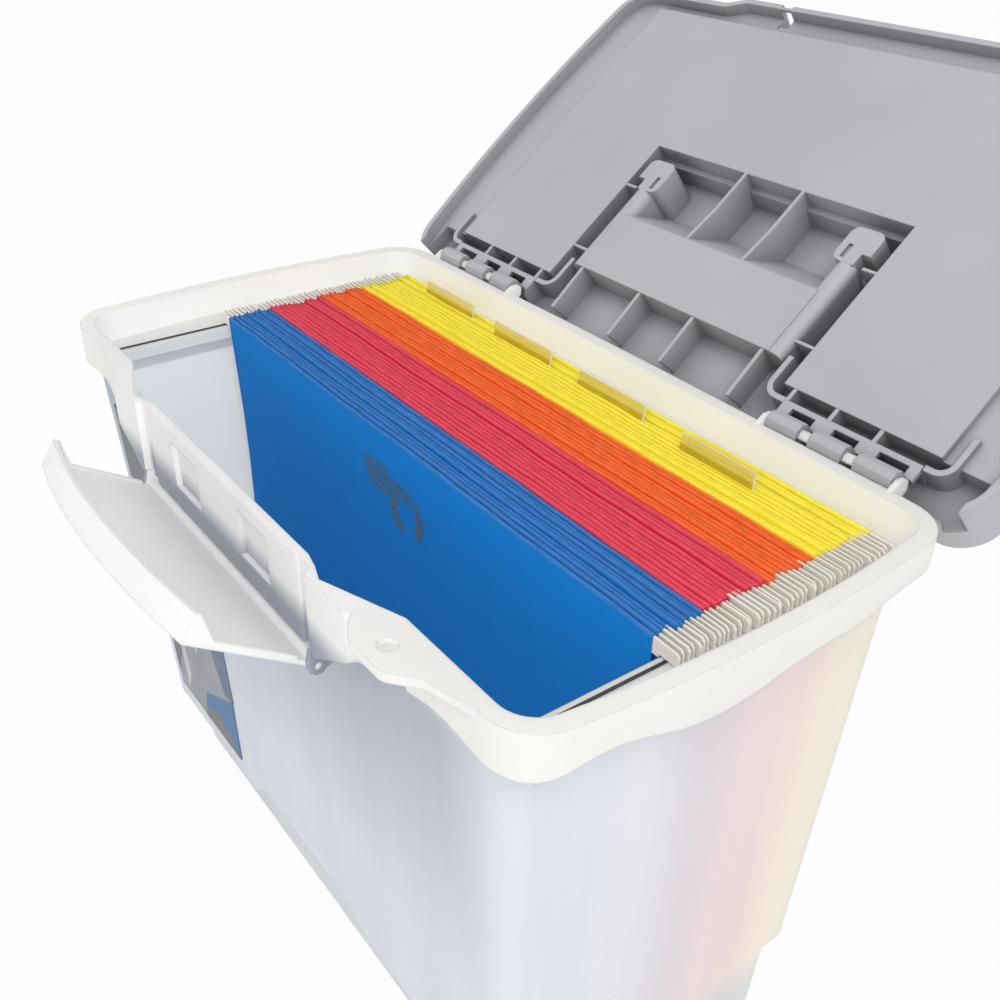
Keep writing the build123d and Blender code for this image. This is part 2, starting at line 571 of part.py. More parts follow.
def organizer_cover():
    """Right-hand cover: an L-shaped plate over one tray, with a rolled hinge edge and a snap tab."""
    y0, y1 = COVER_Y
    plate = block(0.4, COVER_PIN_X, y0, y1, LID_TOP - COVER_T, LID_TOP)
    plate -= block(-1, COVER_IN[0], COVER_IN[1], 110, 200, 300)
    r, cut = COVER_BARREL_R, 1.3
    x, z = COVER_PIN_X, LID_TOP - COVER_BARREL_R
    edge = [(x - r, z + r), (x + r - cut, z + r), (x + r, z + r - cut), (x + r, z - r + cut), (x + r - cut, z - r),
            (x - r + cut, z - r), (x - r, z - r + cut)]
    plate += prism_y(edge, y0 + 2.5, y1 - 2.0)
    for y in COVER_PINS_Y:
        half = SOCKET_HALF + 0.4
        plate -= block(COVER_PIN_X - 4.6, 200, y - half, y + half, 200, 300)
        plate += cover_rod(y - half, y + half, COVER_PIN_R)
    plate += block(77.6, 79.6, 20.0, 34.0, LID_TOP - COVER_T - 5.0, LID_TOP - 1)
    return plate


# ---- latch, in its closed position -----------------------------------------------
def latch_plan(offset, depth):
    """Plate outline with the bowed free edge, extruded back by depth from the outer face."""
    z0, z1 = LATCH_Z, LATCH_Z + LATCH_LEN - offset
    half0, half1 = LATCH_HALF_X - offset, LATCH_TIP_HALF_X - offset
    edges = [
        Line((-half0, z0), (half0, z0)),
        Line((half0, z0), (half1, z1)),
        ThreePointArc((half1, z1), (0, z1 + LATCH_BOW), (-half1, z1)),
        Line((-half1, z1), (-half0, z0)),
    ]
    face = Plane.XZ * make_face(edges)
    return Pos(0, LATCH_Y - LATCH_BARREL_R + depth, 0) * extrude(face, depth)


def front_latch():
    plate = latch_plan(0.0, LATCH_T)
    rim = latch_plan(0.0, LATCH_T + LATCH_HOOK) - latch_plan(LATCH_T, 40)
    hook = rim & block(-80, 80, -120, -60, LATCH_Z + LATCH_LEN - 2.6, 300)
    (y0, z0), (y1, z1) = LATCH_END
    ends = rim & prism_x([(-100.0, 224.0), (y0, 224.0), (y0, z0), (y1, z1), (y1, 290), (-100.0, 290)], -80, 80)
    barrel = rod_x(-LATCH_HALF_X, LATCH_HALF_X, LATCH_Y, LATCH_Z, LATCH_BARREL_R)
    pins = rod_x(-LATCH_HALF_X - 3.0, LATCH_HALF_X + 3.0, LATCH_Y, LATCH_Z, LATCH_PIN_R)
    return plate + hook + ends + barrel + pins


# ---- folders ---------------------------------------------------------------------
def folder_lines():
    """For each colour: the (top y, bottom y) of every folder's two panels, front to back."""
    total = sum(count for _, count, _, _ in COLOURS)
    step = (BOTTOM_Y[1] - BOTTOM_Y[0]) / total
    lines, placed = {}, 0
    for name, count, y0, y1 in COLOURS:
        pitch = (y1 - y0) / (2 * count)
        group = []
        for i in range(count):
            top = y0 + pitch * (2 * i + 0.5)
            bottom = BOTTOM_Y[0] + step * (placed + i)
            group.append((top, top + pitch, bottom, bottom + step - 0.5))
        lines[name] = group
        placed += count
    return lines


def folder_card(front, back, bottom_front, bottom_back):
    """V-shaped card of one thickness: two panels, a flat fold and a hem bent over each rod."""
    low, rod_top = ROD_Z
    top, floor = rod_top + CARD, FOLDER_BOTTOM
    inner, outer = ROD_T / 2, ROD_T / 2 + CARD
    outline = [
        (front + inner, low), (front + inner, rod_top), (front - inner, rod_top), (front - inner, low),
        (bottom_front + CARD, floor + CARD), (bottom_back - CARD, floor + CARD),
        (back + inner, low), (back + inner, rod_top), (back - inner, rod_top), (back - inner, low),
        (back - outer, low), (back - outer, top), (back + outer, top), (back + outer, low),
        (bottom_back, floor), (bottom_front, floor),
        (front - outer, low), (front - outer, top), (front + outer, top), (front + outer, low),
    ]
    return prism_x(outline, -FOLDER_HALF_X, FOLDER_HALF_X)


def folder_rod(y):
    """Flat steel rod, stepped near each end to hook over a rail."""
    low, top = ROD_Z
    right = [(HOOK_X, low), (HOOK_X, HOOK_Z), (ROD_HALF_X, HOOK_Z), (ROD_HALF_X, top)]
    left = [(-x, z) for x, z in reversed(right)]
    return prism_y([*right, *left], y - ROD_T / 2, y + ROD_T / 2)


def index_tab(x, y):
    """Clear tab standing on a folder's front hem."""
    return block(x - TAB_W / 2, x + TAB_W / 2, y - TAB_T / 2, y + TAB_T / 2, FOLDER_TOP, FOLDER_TOP + TAB_H)


def label_card():
    """Plain card on the outside of the front wall."""
    lean = Rot(degrees(atan(END_SLOPE)), 0, 0)
    y_top = -END_HALF_Y - WALL - LABEL_GAP
    card = block(LABEL_X[0], LABEL_X[1], -LABEL_T, 0, -LABEL_S[1], -LABEL_S[0])
    return Pos(0, y_top, LEDGE_Z) * lean * card


def save(shape, name):
    export_step(shape, f"parts/{name}.step")


def main():
    lid_axis = Axis((0, HINGE_Y, HINGE_Z), (1, 0, 0))
    latch_axis = Axis((0, LATCH_Y, LATCH_Z), (1, 0, 0))
    handle_axis = Axis((0, DECK_REAR_Y - PIVOT_L, DECK_Z - PIVOT_H), (1, 0, 0))

    save(tub_shell(), "tub_shell")
    save(hanging_rail(1), "hanging_rail_right")
    save(hanging_rail(-1), "hanging_rail_left")
    save(label_card(), "front_label_card")

    cover = organizer_cover()
    lid_parts = {
        "lid_frame": lid_frame(),
        "organizer_cover_right": cover,
        "organizer_cover_left": mirror(cover, Plane.YZ),
        "carry_handle": carry_handle().rotate(handle_axis, HANDLE_HANG),
    }
    for name, shape in lid_parts.items():
        save(shape.rotate(lid_axis, -LID_OPEN), name)
    save(front_latch().rotate(latch_axis, LATCH_OPEN), "front_latch")

    for colour, cards in folder_lines().items():
        rods = []
        for number, (front, back, low_front, low_back) in enumerate(cards, start=1):
            save(folder_card(front, back, low_front, low_back), f"{colour}_folder_{number}")
            rods += [folder_rod(front), folder_rod(back)]
        save(Compound(children=rods), f"{colour}_folder_rods")
    yellow = folder_lines()["yellow"]
    tabs = [index_tab(x, yellow[number][0]) for x, number in zip(TAB_X, (4, 3, 2, 1))]
    save(Compound(children=tabs), "index_tabs")


main()
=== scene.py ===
import math
import random

import bmesh
import bpy
from mathutils import Matrix, Vector
from mathutils.bvhtree import BVHTree


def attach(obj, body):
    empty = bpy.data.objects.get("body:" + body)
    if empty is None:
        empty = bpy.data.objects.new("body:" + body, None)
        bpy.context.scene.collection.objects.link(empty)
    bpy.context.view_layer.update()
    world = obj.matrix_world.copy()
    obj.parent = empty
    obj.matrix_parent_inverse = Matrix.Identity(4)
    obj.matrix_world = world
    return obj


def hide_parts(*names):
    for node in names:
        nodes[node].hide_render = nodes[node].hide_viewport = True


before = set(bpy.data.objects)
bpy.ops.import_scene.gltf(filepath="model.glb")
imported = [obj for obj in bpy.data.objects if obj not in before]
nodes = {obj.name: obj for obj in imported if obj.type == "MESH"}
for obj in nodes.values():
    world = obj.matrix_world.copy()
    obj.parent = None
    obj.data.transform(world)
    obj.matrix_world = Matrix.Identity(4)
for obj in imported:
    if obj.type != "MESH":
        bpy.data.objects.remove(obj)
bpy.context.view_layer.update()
MM = 0.001


# ---- camera -------------------------------------------------------------------
CAMERA_AT = (0.33404, -0.22125, 0.45715)
AZIMUTH, ELEVATION, ROLL = 53.19, 31.57, 1.15    # degrees
LENS, SENSOR = 40.66, 36.0                       # mm


def make_camera():
    """Camera whose line of sight comes down from the right front."""
    a, e, r = (math.radians(v) for v in (AZIMUTH, ELEVATION, ROLL))
    forward = Vector((-math.sin(a) * math.cos(e), math.cos(a) * math.cos(e), -math.sin(e)))
    right = Vector((math.cos(a), math.sin(a), 0.0))
    up = right.cross(forward)
    right_rolled = math.cos(r) * right + math.sin(r) * up
    up_rolled = -math.sin(r) * right + math.cos(r) * up
    data = bpy.data.cameras.new("camera")
    data.lens, data.sensor_width = LENS, SENSOR
    data.clip_start, data.clip_end = 0.01, 20.0
    camera = bpy.data.objects.new("camera", data)
    bpy.context.scene.collection.objects.link(camera)
    axes = Matrix((right_rolled, up_rolled, -forward)).transposed().to_4x4()
    camera.matrix_world = Matrix.Translation(CAMERA_AT) @ axes
    bpy.context.scene.camera = camera


# ---- materials ----------------------------------------------------------------
MIX_A, MIX_B, MIX_RESULT = 6, 7, 2               # the colour sockets of a mix node
BLACK, WHITE = (0.0, 0.0, 0.0), (1.0, 1.0, 1.0)


def new_material(name):
    """Material with its node tree and its Principled shader."""
    material = bpy.data.materials.new(name)
    material.use_nodes = True
    tree = material.node_tree
    return material, tree, tree.nodes["Principled BSDF"]


def noise(tree, scale, detail=3.0, roughness=0.5, stretch=(1.0, 1.0, 1.0)):
    """Noise in object space, in features per metre."""
    coord = tree.nodes.new("ShaderNodeTexCoord")
    mapping = tree.nodes.new("ShaderNodeMapping")
    mapping.inputs["Scale"].default_value = stretch
    tree.links.new(coord.outputs["Object"], mapping.inputs["Vector"])
    node = tree.nodes.new("ShaderNodeTexNoise")
    node.inputs["Scale"].default_value = scale
    node.inputs["Detail"].default_value = detail
    node.inputs["Roughness"].default_value = roughness
    tree.links.new(mapping.outputs["Vector"], node.inputs["Vector"])
    return node.outputs["Fac"]


def ramp(tree, value, low, high, start=0.3, stop=0.7):
    """Colours between low and high, driven by a value."""
    node = tree.nodes.new("ShaderNodeValToRGB")
    node.color_ramp.elements[0].position = start
    node.color_ramp.elements[1].position = stop
    node.color_ramp.elements[0].color = (*low, 1.0)
    node.color_ramp.elements[1].color = (*high, 1.0)
    tree.links.new(value, node.inputs["Fac"])
    return node.outputs["Color"]


def soft_edges(tree, radius):
    """Shading normal that rounds the solid's edges by that radius."""
    node = tree.nodes.new("ShaderNodeBevel")
    node.samples = 4
    node.inputs["Radius"].default_value = radius
    return node.outputs["Normal"]


def bump(tree, shader, value, depth, edge=0.0):
    """Surface relief of that depth, over edges rounded by edge."""
    node = tree.nodes.new("ShaderNodeBump")
    node.inputs["Distance"].default_value = depth
    tree.links.new(value, node.inputs["Height"])
    if edge:
        tree.links.new(soft_edges(tree, edge), node.inputs["Normal"])
    tree.links.new(node.outputs["Normal"], shader.inputs["Normal"])


def srgb(r, g, b):
    """Linear colour from 0-255 display values."""
    def linear(c):
        c /= 255.0
        return c / 12.92 if c <= 0.04045 else ((c + 0.055) / 1.055) ** 2.4
    return tuple(linear(c) for c in (r, g, b))


def bands(tree, axis, stops):
    """Colours along one object axis, from (position in metres, colour) stops."""
    coord = tree.nodes.new("ShaderNodeTexCoord")
    split = tree.nodes.new("ShaderNodeSeparateXYZ")
    tree.links.new(coord.outputs["Object"], split.inputs["Vector"])
    low, high = stops[0][0], stops[-1][0]
    place = tree.nodes.new("ShaderNodeMapRange")
    place.inputs["From Min"].default_value = low
    place.inputs["From Max"].default_value = high
    tree.links.new(split.outputs[axis], place.inputs["Value"])
    node = tree.nodes.new("ShaderNodeValToRGB")
    elements = node.color_ramp.elements
    elements[0].color = (*stops[0][1], 1.0)
    elements[1].color = (*stops[-1][1], 1.0)
    for position, colour in stops[1:-1]:
        element = elements.new((position - low) / (high - low))
        element.color = (*colour, 1.0)
    tree.links.new(place.outputs["Result"], node.inputs["Fac"])
    return node.outputs["Color"]


def mixed(tree, factor, a, b, blend="MIX"):
    """Colours a and b mixed by a linked or constant factor."""
    node = tree.nodes.new("ShaderNodeMix")
    node.data_type = "RGBA"
    node.blend_type = blend
    if isinstance(factor, float):
        node.inputs["Factor"].default_value = factor
    else:
        tree.links.new(factor, node.inputs["Factor"])
    for value, socket in ((a, MIX_A), (b, MIX_B)):
        if isinstance(value, tuple):
            node.inputs[socket].default_value = (*value, 1.0)
        else:
            tree.links.new(value, node.inputs[socket])
    return node.outputs[MIX_RESULT]


def facing_out(tree):
    """1 on faces turned away from the box's upright axis, 0 on faces turned towards it."""
    coord = tree.nodes.new("ShaderNodeTexCoord")
    flat = tree.nodes.new("ShaderNodeVectorMath")
    flat.operation = "MULTIPLY"
    flat.inputs[1].default_value = (1.0, 1.0, 0.0)
    tree.links.new(coord.outputs["Object"], flat.inputs[0])
    dot = tree.nodes.new("ShaderNodeVectorMath")
    dot.operation = "DOT_PRODUCT"
    tree.links.new(flat.outputs["Vector"], dot.inputs[0])
    tree.links.new(coord.outputs["Normal"], dot.inputs[1])
    step = tree.nodes.new("ShaderNodeMath")
    step.operation = "GREATER_THAN"
    step.inputs[1].default_value = 0.0
    tree.links.new(dot.outputs["Value"], step.inputs[0])
    return step.outputs["Value"]


def upright(tree):
    """1 on upright faces, falling to 0 on level ones."""
    coord = tree.nodes.new("ShaderNodeTexCoord")
    parts = tree.nodes.new("ShaderNodeSeparateXYZ")
    tree.links.new(coord.outputs["Normal"], parts.inputs["Vector"])
    size = tree.nodes.new("ShaderNodeMath")
    size.operation = "ABSOLUTE"
    tree.links.new(parts.outputs["Z"], size.inputs[0])
    rest = tree.nodes.new("ShaderNodeMath")
    rest.operation = "SUBTRACT"
    rest.inputs[0].default_value = 1.0
    tree.links.new(size.outputs["Value"], rest.inputs[1])
    return rest.outputs["Value"]


def frosted_plastic(name, colour_of, glow, painted_glow_inside, painted_glow_outside):
    """Milky polypropylene: satin, letting the share glow of the light through.

    The two last values are painted glow: emission that its inner and outer upright faces give off,
    standing in for light that reaches them from elsewhere.
    """
    material, tree, shader = new_material(name)
    shader.inputs["Roughness"].default_value = 0.38
    shader.inputs["IOR"].default_value = 1.49
    shader.inputs["Specular IOR Level"].default_value = 0.4
    colour = colour_of(tree)
    tree.links.new(colour, shader.inputs["Base Color"])
    # Painted glow: emission on the upright faces, one value inside and one outside, none on level faces.
    painted_glow = mixed(tree, facing_out(tree), (painted_glow_inside,) * 3, (painted_glow_outside,) * 3)
    painted_glow = mixed(tree, upright(tree), BLACK, painted_glow)
    tree.links.new(mixed(tree, 1.0, colour, painted_glow, "MULTIPLY"), shader.inputs["Emission Color"])
    shader.inputs["Emission Strength"].default_value = 1.0
    bump(tree, shader, noise(tree, 900.0, 2.0), 0.05 * MM, 1.2 * MM)
    soft = tree.nodes.new("ShaderNodeBsdfTranslucent")
    tree.links.new(colour, soft.inputs["Color"])
    mix = tree.nodes.new("ShaderNodeMixShader")
    mix.inputs["Fac"].default_value = glow
    output = tree.nodes["Material Output"]
    tree.links.new(shader.outputs["BSDF"], mix.inputs[1])
    tree.links.new(soft.outputs["BSDF"], mix.inputs[2])
    tree.links.new(mix.outputs["Shader"], output.inputs["Surface"])
    return material


def latch_colour(tree):
    """Plain milky white."""
    return ramp(tree, noise(tree, 9.0), srgb(238, 238, 237), srgb(244, 244, 243))


# Painted see-through light and shade on the outside of the tub's walls, in fixed places: (y, colour) along
# its sides and back, (x, colour) along its front.
SIDE_PAINTED_SEE_THROUGH = (
    (-0.085, srgb(230, 233, 239)), (-0.045, srgb(238, 239, 243)), (-0.010, srgb(240, 235, 240)),
    (0.020, srgb(248, 235, 236)), (0.050, srgb(250, 240, 234)), (0.085, srgb(246, 245, 232)),
)
FRONT_PAINTED_SEE_THROUGH = (
    (-0.150, srgb(169, 174, 186)), (0.060, srgb(167, 172, 184)), (0.125, srgb(178, 182, 192)),
    (0.150, srgb(222, 224, 228)),
)
# Painted shade on the outside of the wall below the folders.
FOOT_PAINTED_SEE_THROUGH = srgb(230, 232, 235)
FRONT_END_Y = (-0.0890, -0.0800)       # the front's tints pass into the sides' over this stretch
RIM_FADE_Z = (0.2290, 0.2390)          # the tints end here, under the rim
FOOT_FADE_Z = (0.0240, 0.0440)         # and here, under the folders
WALL_STREAKS = (1.0, 1.0, 0.06)        # upright streaks


def tub_colour(tree):
    """Milky white, with the folders' colours painted faintly on the outside of the walls below the rim as
    painted see-through light, and painted shade on the front.
    """
    white = ramp(tree, noise(tree, 9.0), srgb(238, 238, 236), srgb(244, 243, 241))
    is_side = bands(tree, "Y", ((FRONT_END_Y[0], BLACK), (FRONT_END_Y[1], WHITE)))
    is_low = bands(tree, "Z", ((RIM_FADE_Z[0], WHITE), (RIM_FADE_Z[1], BLACK)))
    is_foot = bands(tree, "Z", ((FOOT_FADE_Z[0], WHITE), (FOOT_FADE_Z[1], BLACK)))
    painted_see_through = mixed(tree, is_side, bands(tree, "X", FRONT_PAINTED_SEE_THROUGH), bands(tree, "Y", SIDE_PAINTED_SEE_THROUGH))
    painted_see_through = mixed(tree, is_foot, painted_see_through, FOOT_PAINTED_SEE_THROUGH)
    streaks = ramp(tree, noise(tree, 45.0, 2.0, 0.5, WALL_STREAKS), (0.94, 0.945, 0.955), WHITE)
    painted_see_through = mixed(tree, 1.0, painted_see_through, streaks, "MULTIPLY")
    outside = mixed(tree, is_low, white, painted_see_through)
    return mixed(tree, facing_out(tree), white, outside)


def hollows(tree, colour, reach, depth):
    """Painted shade: the colour, darkened to the share depth of itself in hollows narrower than reach."""
    node = tree.nodes.new("ShaderNodeAmbientOcclusion")
    node.samples = 8
    node.inputs["Distance"].default_value = reach
    shade = ramp(tree, node.outputs["AO"], (depth, depth, depth), WHITE, 0.25, 0.85)
    return mixed(tree, 1.0, colour, shade, "MULTIPLY")


def moulded_plastic(name, low, high, roughness=0.45, edge=0.8 * MM, reach=0.0):
    """Satin plastic between two colours, with rounded edges and, given a reach, painted shade in its
    hollows.
    """
    material, tree, shader = new_material(name)
    shader.inputs["Roughness"].default_value = roughness
    shader.inputs["Specular IOR Level"].default_value = 0.35
    colour = ramp(tree, noise(tree, 12.0), low, high)
    # Painted shade, darkest in narrow hollows.
    if reach:
        colour = hollows(tree, colour, reach, 0.5)
    tree.links.new(colour, shader.inputs["Base Color"])
    bump(tree, shader, noise(tree, 1400.0, 2.0), 0.05 * MM, edge)
    return material


def paper(name, colour, streaks):
    """Coloured card with faint mottling, or, where streaks isn't 0, darker streaks along x."""
    material, tree, shader = new_material(name)
    shader.inputs["Roughness"].default_value = 0.8
    shader.inputs["Specular IOR Level"].default_value = 0.2
    dull = tuple(c * (0.97 - 0.6 * streaks) for c in colour)
    scale, stretch = (1100.0, (0.12, 1.0, 1.0)) if streaks else (90.0, (1.0, 1.0, 1.0))
    grain = noise(tree, scale, 5.0, 0.6, stretch)
    tree.links.new(ramp(tree, grain, dull, colour, 0.35, 0.55), shader.inputs["Base Color"])
    bump(tree, shader, noise(tree, 1800.0, 4.0), 0.04 * MM)
    return material


def dark_steel():
    """Rolled steel strip, faintly mottled."""
    material, tree, shader = new_material("rail_steel")
    shader.inputs["Metallic"].default_value = 0.7
    shader.inputs["Roughness"].default_value = 0.4
    grain = noise(tree, 60.0, 3.0, 0.5, (1.0, 12.0, 1.0))
    tree.links.new(ramp(tree, grain, srgb(58, 58, 60), srgb(74, 74, 76)), shader.inputs["Base Color"])
    return material


def clear_plastic(name, colour, alpha):
    """Thin see-through plastic."""
    material, tree, shader = new_material(name)
    shader.inputs["Roughness"].default_value = 0.15
    shader.inputs["Alpha"].default_value = alpha
    dull = tuple(c * 0.9 for c in colour)
    tree.links.new(ramp(tree, noise(tree, 90.0), dull, colour), shader.inputs["Base Color"])
    return material


def print_ink(name, colour):
    """Printed card: flat colour with slight mottling."""
    material, tree, shader = new_material(name)
    shader.inputs["Roughness"].default_value = 0.55
    dull = tuple(c * 0.8 for c in colour)
    tree.links.new(ramp(tree, noise(tree, 70.0, 4.0), dull, colour), shader.inputs["Base Color"])
    return material


def assign(material, *names):
    """Gives CAD nodes a material."""
    for name in names:
        data = nodes[name].data
        data.materials.clear()
        data.materials.append(material)


# ---- hanging folders: the CAD cards with bent hems, uneven tops and one slack panel ----
# Each hem colour is its panel's colour painted lighter and paler: a painted highlight for the light and
# sheen on the hem tops.
COLOURS = {
    "blue": {"panel": srgb(0, 118, 197), "hem": srgb(54, 118, 188), "streaks": 0.3, "folders": 5},
    "red": {"panel": srgb(214, 38, 74), "hem": srgb(224, 74, 94), "streaks": 0.3, "folders": 6},
    "orange": {"panel": srgb(240, 84, 20), "hem": srgb(238, 106, 50), "streaks": 0.3, "folders": 5},
    "yellow": {"panel": srgb(246, 226, 40), "hem": srgb(242, 226, 70), "streaks": 0.15, "folders": 6},
}
STATIONS = 60                          # cross-sections along a folder
PANEL_ROWS = 10                        # points down a panel
HEM_TURNS = 6                          # steps round the top of a hem
CARD_T = 0.45 * MM
SLACK = 2.3 * MM                       # how far the first folder's front panel sags inward
HEM_DEPTH = 6.8 * MM
HEM_WIDTH = (1.70 * MM, 1.95 * MM)
HEM_UNEVEN = 0.5 * MM                  # hems stand higher or lower by up to this much
LEFT_END = (-1.6 * MM, 0.0)            # how far a hem passes the card's end, less than 0 if short of it
RIGHT_END = (-1.6 * MM, 0.6 * MM)
WAVES = ((0.113, 0.10 * MM), (0.031, 0.05 * MM))  # length and height of a hem's two waves
SHARED_PHASE = 1.3                     # all hems wave sideways together, so that none meet
NEAR = 0.02 * MM                       # points this close to the top or bottom belong to it


def folder_places(name):
    """A CAD card's hem centres in y, its fold's two y, its end x and its lowest and highest z."""
    node = nodes[name]
    points = [node.matrix_world @ v.co for v in node.data.vertices]
    low, high = min(p.z for p in points), max(p.z for p in points)
    tops = sorted({round(p.y, 5) for p in points if p.z > high - NEAR})
    feet = sorted({round(p.y, 5) for p in points if p.z < low + NEAR})
    half = max(p.x for p in points)
    return (tops[0] + tops[1]) / 2, (tops[-2] + tops[-1]) / 2, feet[0], feet[-1], half, low, high


def hem_profile(centre, width, top, inward):
    """Hem in (y, z): up the panel's outer face, over the top, down the flap and back to its inner face."""
    half = width / 2
    turn = [math.pi * (1.0 - i / HEM_TURNS) for i in range(HEM_TURNS + 1)]
    arc = [(centre + inward * math.cos(a) * half, top - half + math.sin(a) * half) for a in turn]
    end = top - HEM_DEPTH
    return arc + [(centre + inward * half, end), (centre - inward * (half - CARD_T), end)]


def panel_profile(top_y, top_z, foot_y, foot_z, sag):
    """Points down one face of a panel, bowed by its sag over the upper five eighths."""
    rows = []
    for i in range(1, PANEL_ROWS):
        t = i / PANEL_ROWS
        bow = sag * math.sin(math.pi * min(1.0, t * 1.6))
        rows.append((top_y + (foot_y - top_y) * t + bow, top_z + (foot_z - top_z) * t))
    return rows


def folder_section(place, width, lift, sag):
    """Closed (y, z) outline of one folder: front hem and panel, fold, back panel and hem."""
    front, back, foot_front, foot_back, _, low, high = place
    top_front, top_back = high + lift[0], high + lift[1]
    root = high - HEM_DEPTH
    front_hem = hem_profile(front, width, top_front, 1)
    back_hem = hem_profile(back, width, top_back, -1)
    outline = panel_profile(front - width / 2, root, foot_front, low, sag)[::-1] + front_hem
    outline += panel_profile(front - width / 2 + CARD_T, root, foot_front + CARD_T, low + CARD_T, sag)
    outline += [(foot_front + CARD_T, low + CARD_T), (foot_back - CARD_T, low + CARD_T)]
    outline += panel_profile(back + width / 2 - CARD_T, root, foot_back - CARD_T, low + CARD_T, 0.0)[::-1]
    outline += back_hem[::-1]
    outline += panel_profile(back + width / 2, root, foot_back, low, 0.0)
    return outline + [(foot_back, low), (foot_front, low)]


def ripple(x, phase):
    """Slight unevenness along a hem, in metres."""
    (slow, tall), (quick, short) = WAVES
    turn = 2 * math.pi * x
    return tall * math.sin(turn / slow + phase) + short * math.sin(turn / quick + 2 * phase)


def make_folder(name, body, sheet, hem, chance, front_most):
    """One folder in its CAD card's place, swept along x; returns its two hem centres."""
    place = folder_places(name)
    half, low, high = place[4:]
    width = chance.uniform(*HEM_WIDTH)
    lift = (chance.uniform(-HEM_UNEVEN, HEM_UNEVEN), chance.uniform(-HEM_UNEVEN, HEM_UNEVEN))
    phase = chance.uniform(0.0, 6.3)
    ends = (chance.uniform(*LEFT_END), chance.uniform(*RIGHT_END))
    section = folder_section(place, width, lift, SLACK if front_most else 0.0)
    x0, x1 = -half - ends[0], half + ends[1]
    verts = []
    for i in range(STATIONS + 1):
        x = x0 + (x1 - x0) * i / STATIONS
        for y, z in section:
            fade = max(0.0, (z - low) / (high - low)) ** 2
            verts.append((x, y + fade * ripple(x, SHARED_PHASE), z + fade * ripple(x, phase) * 2.0))
    n = len(section)
    faces = [
        (i * n + j, i * n + (j + 1) % n, (i + 1) * n + (j + 1) % n, (i + 1) * n + j)
        for i in range(STATIONS) for j in range(n)
    ]
    faces += [tuple(range(n))[::-1], tuple(STATIONS * n + j for j in range(n))]
    mesh = bpy.data.meshes.new(f"sheet_{name}")
    mesh.from_pydata(verts, [], faces)
    mesh.materials.append(sheet)
    mesh.materials.append(hem)
    for face in mesh.polygons:
        # The hem tops take the hem colour with its painted highlight.
        face.material_index = int(face.center.z > high - HEM_DEPTH * 0.9)
        face.use_smooth = len(face.vertices) == 4
    folder = bpy.data.objects.new(f"sheet_{name}", mesh)
    bpy.context.scene.collection.objects.link(folder)
    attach(folder, body)
    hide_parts(name)
    return place[:2]


def add_prism(shape, outline, place, near, far, slot_index):
    """Thin prism over a flat outline; place turns (u, v, depth) into a point."""
    top = [shape.verts.new(place(u, v, far)) for u, v in outline]
    foot = [shape.verts.new(place(u, v, near)) for u, v in outline]
    count = len(outline)
    made = [shape.faces.new(top), shape.faces.new(foot[::-1])]
    for i in range(count):
        j = (i + 1) % count
        made.append(shape.faces.new((top[j], top[i], foot[i], foot[j])))
    for face in made:
        face.material_index = slot_index


def finish_piece(shape, name, materials, body, slot_name, *hidden):
    """Object from the shape, riding a body and standing for the hidden nodes."""
    bmesh.ops.recalc_face_normals(shape, faces=shape.faces)
    mesh = bpy.data.meshes.new(name)
    shape.to_mesh(mesh)
    shape.free()
    for material in materials:
        mesh.materials.append(material)
    piece = bpy.data.objects.new(name, mesh)
    bpy.context.scene.collection.objects.link(piece)
    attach(piece, body)
    if hidden:
        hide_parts(*hidden)
    return piece


# Rods: only their tips show; the hems are closed round the rest.
ROD_T = 0.85 * MM
ROD_IN, ROD_NOTCH, ROD_OUT = 0.1462, 0.1510, 0.1597
ROD_LOW, ROD_STEP, ROD_TOP = 0.2402, 0.2415, 0.2465
ROD_CORNER = 1.2 * MM                  # cut off the tip's upper corner


def rod_tip(shape, y, side, chance):
    """One notched tip of a flat rod, a little out of line with its neighbours."""
    out = ROD_OUT + chance.uniform(-1.4, 0.5) * MM
    top = ROD_TOP + chance.uniform(-0.6, 0.2) * MM
    half = ROD_T / 2 + chance.uniform(-0.08, 0.08) * MM
    lean = chance.uniform(-0.35, 0.35) * MM
    outline = [
        (ROD_IN, ROD_LOW), (ROD_NOTCH, ROD_LOW), (ROD_NOTCH, ROD_STEP), (out, ROD_STEP),
        (out, top - ROD_CORNER), (out - ROD_CORNER, top), (ROD_IN, top),
    ]
    rings = []
    for across in (-half, half):
        ring = []
        for x, z in outline:
            slip = lean * (x - ROD_IN) / (ROD_OUT - ROD_IN)
            ring.append(shape.verts.new((side * x, y + across + slip, z)))
        rings.append(ring)
    front, back = rings
    count = len(outline)
    shape.faces.new(front)
    shape.faces.new(back[::-1])
    for i in range(count):
        j = (i + 1) % count
        shape.faces.new((front[j], front[i], back[i], back[j]))


def make_rods(colour, centres, coating, chance):
    """Both tips of every rod of one colour, as one piece."""
    shape = bmesh.new()
    for y in centres:
        for side in (1, -1):
            rod_tip(shape, y, side, chance)
    body = f"{colour}_folders"
    finish_piece(shape, f"{colour}_rod_tips", [coating], body, "rod_coating", f"{colour}_folder_rods")


def make_folders():
    """All hanging folders and their rods' tips, from one seeded run of random values."""
    chance = random.Random(7)
    coating = moulded_plastic("rod_coating", srgb(218, 214, 204), srgb(238, 235, 227), 0.4, 0.0)
    for colour, look in COLOURS.items():
        sheet = paper(f"{colour}_sheet", look["panel"], 0.0)
        hem = paper(f"{colour}_hem", look["hem"], look["streaks"])
        centres = []
        for number in range(1, look["folders"] + 1):
            front_most = colour == "blue" and number == 1
            name = f"{colour}_folder_{number}"
            centres += make_folder(name, f"{colour}_folders", sheet, hem, chance, front_most)
        make_rods(colour, centres, coating, chance)


